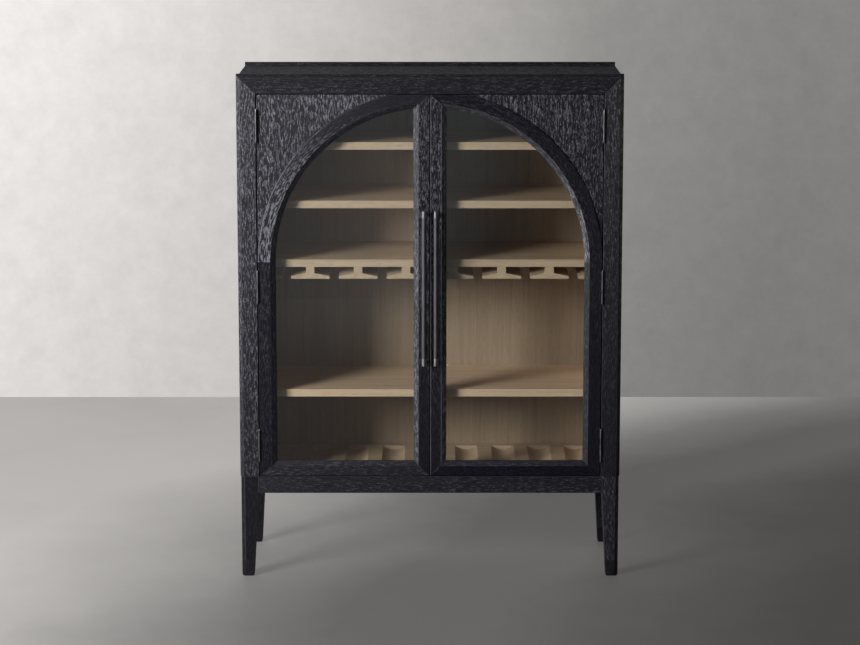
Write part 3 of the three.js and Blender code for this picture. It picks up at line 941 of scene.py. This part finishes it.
def make_stops():
    """Black strips round the inside of the opening, just behind the closed doors."""
    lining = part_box("side_lining_right")[0].x
    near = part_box("door_right_outer_stile")[1].y + STOP_GAP
    far = near + STOP_DEPTH
    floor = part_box("bottom_panel")[1].z
    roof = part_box("top_panel")[0].z
    inner = lining - STOP_WIDTH
    strips = {
        "left": ((-lining, floor), (-inner, roof)),
        "right": ((inner, floor), (lining, roof)),
        "foot": ((-inner, floor), (inner, floor + STOP_FOOT)),
        "head_left": ((-inner, roof - STOP_WIDTH), (-STOP_BREAK, roof)),
        "head_right": ((STOP_BREAK, roof - STOP_WIDTH), (inner, roof)),
    }
    for name, ((x0, z0), (x1, z1)) in strips.items():
        upright = name in SIDES
        builder = bmesh.new()
        rings = []
        for y, ease in ((near, STOP_EASE), (near + STOP_EASE, 0), (far, 0)):
            dx, dz = (ease, 0) if upright else (0, ease)
            left, right, foot, head = x0 + dx, x1 - dx, z0 + dz, z1 - dz
            outline = ((left, foot), (right, foot), (right, head), (left, head))
            rings.append([builder.verts.new((x, y, z)) for x, z in outline])
        for a, b in zip(rings, rings[1:]):
            bridge(builder, a, b)
        for ring in (rings[0], rings[-1]):
            builder.faces.new(ring)
        wood = black_oak(f"black_oak_stop_{name}", "z" if upright else "x", f"stop {name}", HIDDEN)
        add_piece(f"door_stop_{name}", builder, wood, "cabinet")


# Pulls


def knurled_grip(name, centre_x, centre_y, low, high, radius):
    """A round grip whose surface is cut by two crossing sets of fine grooves."""
    rows = round((high - low) / (KNURL_PITCH / KNURL_STEPS))
    around = KNURL_ROUND * KNURL_STEPS
    builder = bmesh.new()
    rings = []
    for row in range(rows + 1):
        z = low + (high - low) * row / rows
        climb = 2 * math.pi * (z - low) / KNURL_PITCH
        end = min(1.0, row / KNURL_STEPS, (rows - row) / KNURL_STEPS)
        ring = []
        for i in range(around):
            angle = 2 * math.pi * i / around
            turn = KNURL_ROUND * angle
            ridge = 0.5 + 0.5 * min(math.cos(turn + climb), math.cos(turn - climb))
            reach = radius - KNURL_DEPTH * (1 - ridge) * end
            x = centre_x + reach * math.cos(angle)
            y = centre_y + reach * math.sin(angle)
            ring.append(builder.verts.new((x, y, z)))
        rings.append(ring)
    for a, b in zip(rings, rings[1:]):
        bridge(builder, a, b)
    for ring in (rings[0], rings[-1]):
        builder.faces.new(ring)
    piece = mesh_from(name, builder)
    for face in piece.data.polygons:
        face.use_smooth = True
    return piece


def pull_collars(side, x, y, low, high, radius):
    """The two plain ends of a pull, each with a groove before the grip."""
    profile = [
        (0, 0),
        (radius - PULL_EASE, 0),
        (radius - PULL_EASE * EASE_ROUND_SHARE, PULL_EASE * EASE_ROUND_SHARE),
        (radius, PULL_EASE),
        (radius, COLLAR_LENGTH - COLLAR_GROOVE * 2),
        (radius - COLLAR_GROOVE, COLLAR_LENGTH - COLLAR_GROOVE),
        (radius - COLLAR_GROOVE, COLLAR_LENGTH + COLLAR_GROOVE),
        (0, COLLAR_LENGTH + COLLAR_GROOVE),
    ]
    builder = bmesh.new()
    for z, way in ((low, 1), (high, -1)):
        turned = [(out, way * along) for out, along in profile]
        lathe(builder, turned, Vector((x, y, z)), Matrix.Identity(3), TURN_STEPS["collar"])
    return add_piece(f"pull_collars_{side}", builder, collar_metal, f"{side}_door")


def pull_posts(side, x, face, levels, length):
    """The two posts that hold a pull, each with a flange on the door."""
    profile = [
        (0, 0),
        (POST_RADIUS + PULL_EASE, 0),
        (POST_RADIUS + PULL_EASE, PULL_EASE),
        (POST_RADIUS, PULL_EASE * POST_FLARE_SHARE),
        (POST_RADIUS, length),
        (0, length),
    ]
    forward = Matrix.Rotation(math.radians(90), 3, "X")
    builder = bmesh.new()
    for z in levels:
        lathe(builder, profile, Vector((x, face, z)), forward, TURN_STEPS["post"])
    return add_piece(f"pull_posts_{side}", builder, metal, f"{side}_door")


def make_pulls():
    for side in SIDES:
        node = f"door_{side}_pull"
        body = f"{side}_door"
        low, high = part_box(node)
        radius = (high.x - low.x) / 2
        x = (low.x + high.x) / 2
        y = low.y + radius
        face = high.y
        levels = (low.z + COLLAR_LENGTH / 2, high.z - COLLAR_LENGTH / 2)
        ends = (low.z + COLLAR_LENGTH, high.z - COLLAR_LENGTH)
        grip = knurled_grip(f"pull_grip_{side}", x, y, *ends, radius)
        paint(grip, grip_metal)
        hang(grip, body)
        collars = pull_collars(side, x, y, low.z, high.z, radius)
        posts = pull_posts(side, x, face, levels, face - y - radius * POST_SINK_SHARE)
        for piece in (grip, collars, posts):
            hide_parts(node)
        back = face + DOOR_THICKNESS
        screw_heads(f"pull_screws_{side}", body, [(x, back, z) for z in levels], (0, 1, 0), *PULL_SCREW)


# Small fittings


def ring_edges(builder, ring):
    return [builder.edges.get(pair) for pair in zip(ring, ring[1:] + ring[:1])]


def screw_heads(name, body, places, outward, radius, height):
    """Domed cross-slot screw heads at some places, all of one size and looking one way."""
    turn = facing(*outward)
    bar = radius * SLOT_WIDTH_SHARE
    arm = radius * SLOT_REACH_SHARE
    taper = SLOT_TAPER_SHARE
    depth = height - height * SLOT_DEPTH_SHARE
    profile = [(radius, -SCREW_ROOT)]
    profile += [(radius * wide, height * up) for wide, up in SCREW_DOME_SHARES]
    outline = []
    for quarter in range(4):
        spin = Matrix.Rotation(-quarter * math.pi / 2, 2)
        outline += [spin @ Vector(corner) for corner in ((bar, bar), (arm, bar), (arm, -bar))]
    builder = bmesh.new()
    for place in places:
        point = Vector(place)
        rings = lathe(builder, profile, point, turn, TURN_STEPS["screw"])
        top = [builder.verts.new(point + turn @ Vector((u, v, height))) for u, v in outline]
        floor = [builder.verts.new(point + turn @ Vector((u * taper, v * taper, depth))) for u, v in outline]
        bridge(builder, top, floor)
        builder.faces.new(floor)
        open_edges = ring_edges(builder, top) + ring_edges(builder, rings[-1])
        bmesh.ops.triangle_fill(builder, edges=open_edges, use_beauty=True, use_dissolve=False)
        builder.faces.new(rings[0])
    return add_piece(name, builder, metal, body)


def dress_hinges():
    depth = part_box("door_right_outer_stile")[0].y + HINGE_SCREW_DEPTH
    for side in SIDES:
        sign = SIGNS[side]
        leaves = (
            ("frame", "cabinet", f"front_stile_{side}", -sign),
            ("door", f"{side}_door", f"door_{side}_outer_stile", sign),
        )
        for leaf, body, stile, outward in leaves:
            low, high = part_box(stile)
            x = (high.x if outward > 0 else low.x) + outward * LEAF_THICKNESS
            places = []
            for place in ("lower", "middle", "upper"):
                node = nodes[f"hinge_{side}_{place}_{leaf}_leaf"]
                paint(node, metal)
                soften(node, LEAF_ARRIS, edge_slot=0, segments=1)
                foot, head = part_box(f"hinge_{side}_{place}_door_leaf")
                middle = (foot.z + head.z) / 2
                places += [(x, depth, middle + step * HINGE_SCREW_SPREAD) for step in (-1, 0, 1)]
            screw_heads(f"hinge_screws_{side}_{leaf}", body, places, (outward, 0, 0), *HINGE_SCREW)


def make_catch():
    """Two magnets in the catch."""
    catch = nodes["door_catch"]
    paint(catch, metal)
    soften(catch, CATCH_ARRIS, edge_slot=0)
    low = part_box("door_catch")[0]
    profile = [
        (0, MAGNET_PROUD),
        (MAGNET_RADIUS - MAGNET_EASE, MAGNET_PROUD),
        (MAGNET_RADIUS, 0),
        (MAGNET_RADIUS, -MAGNET_DEPTH),
        (0, -MAGNET_DEPTH),
    ]
    builder = bmesh.new()
    for sign in SIGNS.values():
        centre = Vector((sign * MAGNET_ASIDE, low.y, low.z + MAGNET_LEVEL))
        lathe(builder, profile, centre, facing(0, -1, 0), TURN_STEPS["magnet"])
    nickel = dark_metal("magnet_nickel", (0.35, 0.35, 0.36), 0.25, 0.35, "magnet")
    add_piece("catch_magnets", builder, nickel, "cabinet")


def make_strikes():
    """The strike plate with its sunk ring on the back of each door."""
    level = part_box("door_catch")[0].z + MAGNET_LEVEL
    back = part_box("door_right_meeting_stile")[1].y
    profile = [
        (0, STRIKE_PROUD),
        (DIMPLE_RADIUS - DIMPLE_WIDTH, STRIKE_PROUD),
        (DIMPLE_RADIUS, STRIKE_PROUD * DIMPLE_SHARE),
        (DIMPLE_RADIUS + DIMPLE_WIDTH, STRIKE_PROUD),
        (STRIKE_RADIUS - STRIKE_EASE, STRIKE_PROUD),
        (STRIKE_RADIUS, 0),
        (STRIKE_RADIUS, -STRIKE_DEPTH),
        (0, -STRIKE_DEPTH),
    ]
    for side in SIDES:
        builder = bmesh.new()
        centre = Vector((SIGNS[side] * MAGNET_ASIDE, back, level))
        lathe(builder, profile, centre, facing(0, 1, 0), TURN_STEPS["strike"])
        add_piece(f"strike_plate_{side}", builder, metal, f"{side}_door")


def make_back_screws():
    """The screws that hold the back panel, round its edge."""
    low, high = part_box("back_panel")
    left, right = low.x + BACK_SCREW_INSET, high.x - BACK_SCREW_INSET
    foot, head = low.z + BACK_SCREW_INSET, high.z - BACK_SCREW_INSET
    places = []
    for i in range(BACK_SCREWS_ACROSS):
        x = left + (right - left) * i / (BACK_SCREWS_ACROSS - 1)
        places += [(x, high.y, z) for z in (foot, head)]
    for i in range(1, BACK_SCREWS_UP - 1):
        z = foot + (head - foot) * i / (BACK_SCREWS_UP - 1)
        places += [(x, high.y, z) for x in (left, right)]
    screw_heads("back_screws", "cabinet", places, (0, 1, 0), *BACK_SCREW)


# Room, light and camera


def tone_stops(tones, tint):
    """Colour stops at even steps, from a list of tones."""
    return [(i / (len(tones) - 1), tuple(tone * part for part in tint)) for i, tone in enumerate(tones)]


def seen_only(shader):
    """1 for what looks at a shining backdrop and 0 for the light that it would throw."""
    path = shader.node("ShaderNodeLightPath").outputs
    seen = shader.math("MAXIMUM", path["Is Camera Ray"], path["Is Glossy Ray"])
    return shader.math("MAXIMUM", seen, path["Is Transmission Ray"])


def wall_material(name, tint, tones, along, reach, foot, haze, lean=0.0):
    """Pale plaster that shines by itself, from its front only: tones across, darker or lighter up, which are
    painted light and shade.
    """
    shader = Shader(name)
    here = shader.here()
    parts = shader.split(here)
    slant = shader.math("MULTIPLY", shader.math("SUBTRACT", parts[2], FRONT_LEVEL), lean)
    across = shader.remap(shader.math("SUBTRACT", parts[along], slant), -reach, reach, smooth=False)
    cloud = shader.noise(here, WALL_CLOUDS, detail=4.0, roughness=0.6)
    grain = shader.noise(here, WALL_GRAIN, detail=5.0, roughness=0.75)
    wander = shader.remap(cloud, *NOISE, -WALL_WANDER, WALL_WANDER, smooth=False)
    colour = shader.ramp(shader.math("ADD", across, wander), tone_stops(tones, tint))
    patch = shader.remap(grain, *NOISE, 1 - haze, 1 + haze, smooth=False)
    height = shader.remap(parts[2], 0.0, WALL_FADE_HEIGHT, foot, 1.0, smooth=False)
    strength = shader.math("MULTIPLY", patch, height)
    light = shader.node("ShaderNodeEmission", {"Color": colour, "Strength": strength})
    clear = shader.node("ShaderNodeBsdfTransparent")
    behind = shader.node("ShaderNodeNewGeometry").outputs["Backfacing"]
    mixed = shader.node("ShaderNodeMixShader", {0: behind, 1: light.outputs[0], 2: clear.outputs[0]})
    return shader.surface(mixed.outputs[0])


def floor_material():
    """Smooth pale concrete with soft clouds. Its tones, light to the left and dark to the right on a slant,
    are painted light and shade, and part of its brightness is its own glow, so that shadows stay faint.
    """
    shader = Shader("floor_concrete")
    here = shader.here()
    parts = shader.split(here)
    near = shader.math("MULTIPLY", shader.math("MAXIMUM", parts[1], FLOOR_NEAR), FLOOR_LEAN)
    far = shader.math("MAXIMUM", shader.math("SUBTRACT", parts[1], FLOOR_FAR), 0.0)
    slant = shader.math("MULTIPLY_ADD", far, FLOOR_FAR_LEAN, near)
    across = shader.math("SUBTRACT", parts[0], slant)
    across = shader.remap(across, -FLOOR_TONE_REACH, FLOOR_TONE_REACH, smooth=False)
    cloud = shader.noise(here, FLOOR_CLOUDS, detail=5.0, roughness=0.6)
    wander = shader.remap(cloud, *NOISE, -FLOOR_WANDER, FLOOR_WANDER, smooth=False)
    colour = shader.ramp(shader.math("ADD", across, wander), tone_stops(FLOOR_TONES, PLASTER))
    # Towards the front wall the floor takes on its tones, so that no line shows in the panes
    ahead = shader.remap(parts[1], *FLOOR_BLEND)
    beside = shader.math("ADD", parts[0], FRONT_LEAN * FRONT_LEVEL)
    beside = shader.remap(beside, -FRONT_REACH, FRONT_REACH, smooth=False)
    front = shader.ramp(beside, tone_stops(FRONT_TONES, COOL_PLASTER))
    own_light = shader.blend(1.0, colour, (*[FLOOR_OWN_LIGHT] * 3, 1), "MULTIPLY")
    albedo = shader.blend(1.0, colour, (*[FLOOR_ALBEDO] * 3, 1), "MULTIPLY")
    inputs = {
        "Base Color": shader.blend(ahead, albedo, (*FLOOR_AHEAD, 1)),
        "Roughness": shader.remap(cloud, *NOISE, 0.5, 0.6),
        "Specular IOR Level": 0.3,
        "Emission Color": shader.blend(ahead, own_light, front),
        "Emission Strength": seen_only(shader),
    }
    return shader.principled(inputs)


def quad(name, corners, material):
    mesh = bpy.data.meshes.new(name)
    mesh.from_pydata(corners, [], [tuple(range(len(corners)))])
    piece = new_object(name, mesh)
    paint(piece, material)
    return piece


def make_room():
    reach = FLOOR_REACH
    corners = [(-reach, -reach, 0), (reach, -reach, 0), (reach, reach, 0), (-reach, reach, 0)]
    quad("floor", corners, floor_material())
    side, front, back = WALL_SIDE, WALL_FRONT, WALL_BACK
    # Foot of each wall, then its tint, tones, direction, reach, brightness at the foot, haze and lean
    walls = {
        "wall_back": ((-side, back), (side, back), PLASTER, BACK_TONES, 0, BACK_REACH, 0.78, 0.06),
        "wall_front": (
            (side, -front),
            (-side, -front),
            COOL_PLASTER,
            FRONT_TONES,
            0,
            FRONT_REACH,
            1.0,
            0.05,
            FRONT_LEAN,
        ),
        "wall_left": ((-side, -front), (-side, back), COOL_PLASTER, LEFT_TONES, 1, front, 0.9, 0.05),
        "wall_right": ((side, back), (side, -front), COOL_PLASTER, RIGHT_TONES, 1, front, 0.9, 0.05),
    }
    for name, (start, end, *looks) in walls.items():
        corners = [(*start, 0), (*end, 0), (*end, WALL_HEIGHT), (*start, WALL_HEIGHT)]
        wall = quad(name, corners, wall_material(name, *looks))
        wall.visible_diffuse = False
        wall.visible_shadow = False


def area_light(name, place, target, size, power):
    data = bpy.data.lights.new(name, "AREA")
    data.shape = "RECTANGLE"
    data.size, data.size_y = size
    data.energy = power
    lamp = new_object(name, data)
    lamp.location = place
    lamp.rotation_euler = (Vector(target) - Vector(place)).to_track_quat("-Z", "Y").to_euler()
    lamp.visible_camera = False
    lamp.visible_transmission = False


def make_light():
    world = bpy.data.worlds.new("studio")
    world.use_nodes = True
    background = world.node_tree.nodes["Background"]
    background.inputs["Color"].default_value = (*WORLD_COLOUR, 1)
    background.inputs["Strength"].default_value = WORLD_POWER
    bpy.context.scene.world = world
    area_light("key", KEY_PLACE, KEY_TARGET, KEY_SIZE, KEY_POWER)
    area_light("fill", FILL_PLACE, FILL_TARGET, FILL_SIZE, FILL_POWER)


def make_camera():
    data = bpy.data.cameras.new("camera")
    data.sensor_width = SENSOR_MM
    data.lens = FOCAL_PIXELS / FRAME_PIXELS * SENSOR_MM
    data.shift_y = CAMERA_SHIFT
    data.clip_end = CAMERA_REACH
    camera = new_object("camera", data)
    camera.location = (0, -CAMERA_BACK, CAMERA_HEIGHT)
    camera.rotation_euler = (math.radians(90 - CAMERA_PITCH), 0, 0)
    bpy.context.scene.camera = camera


make_camera()
dress_case()
make_legs()
dress_doors()
make_beads()
make_gap_shade_strip()
make_stops()
make_pulls()
dress_hinges()
make_catch()
make_strikes()
make_back_screws()
make_room()
make_light()

bpy.context.scene.view_settings.view_transform = "Standard"
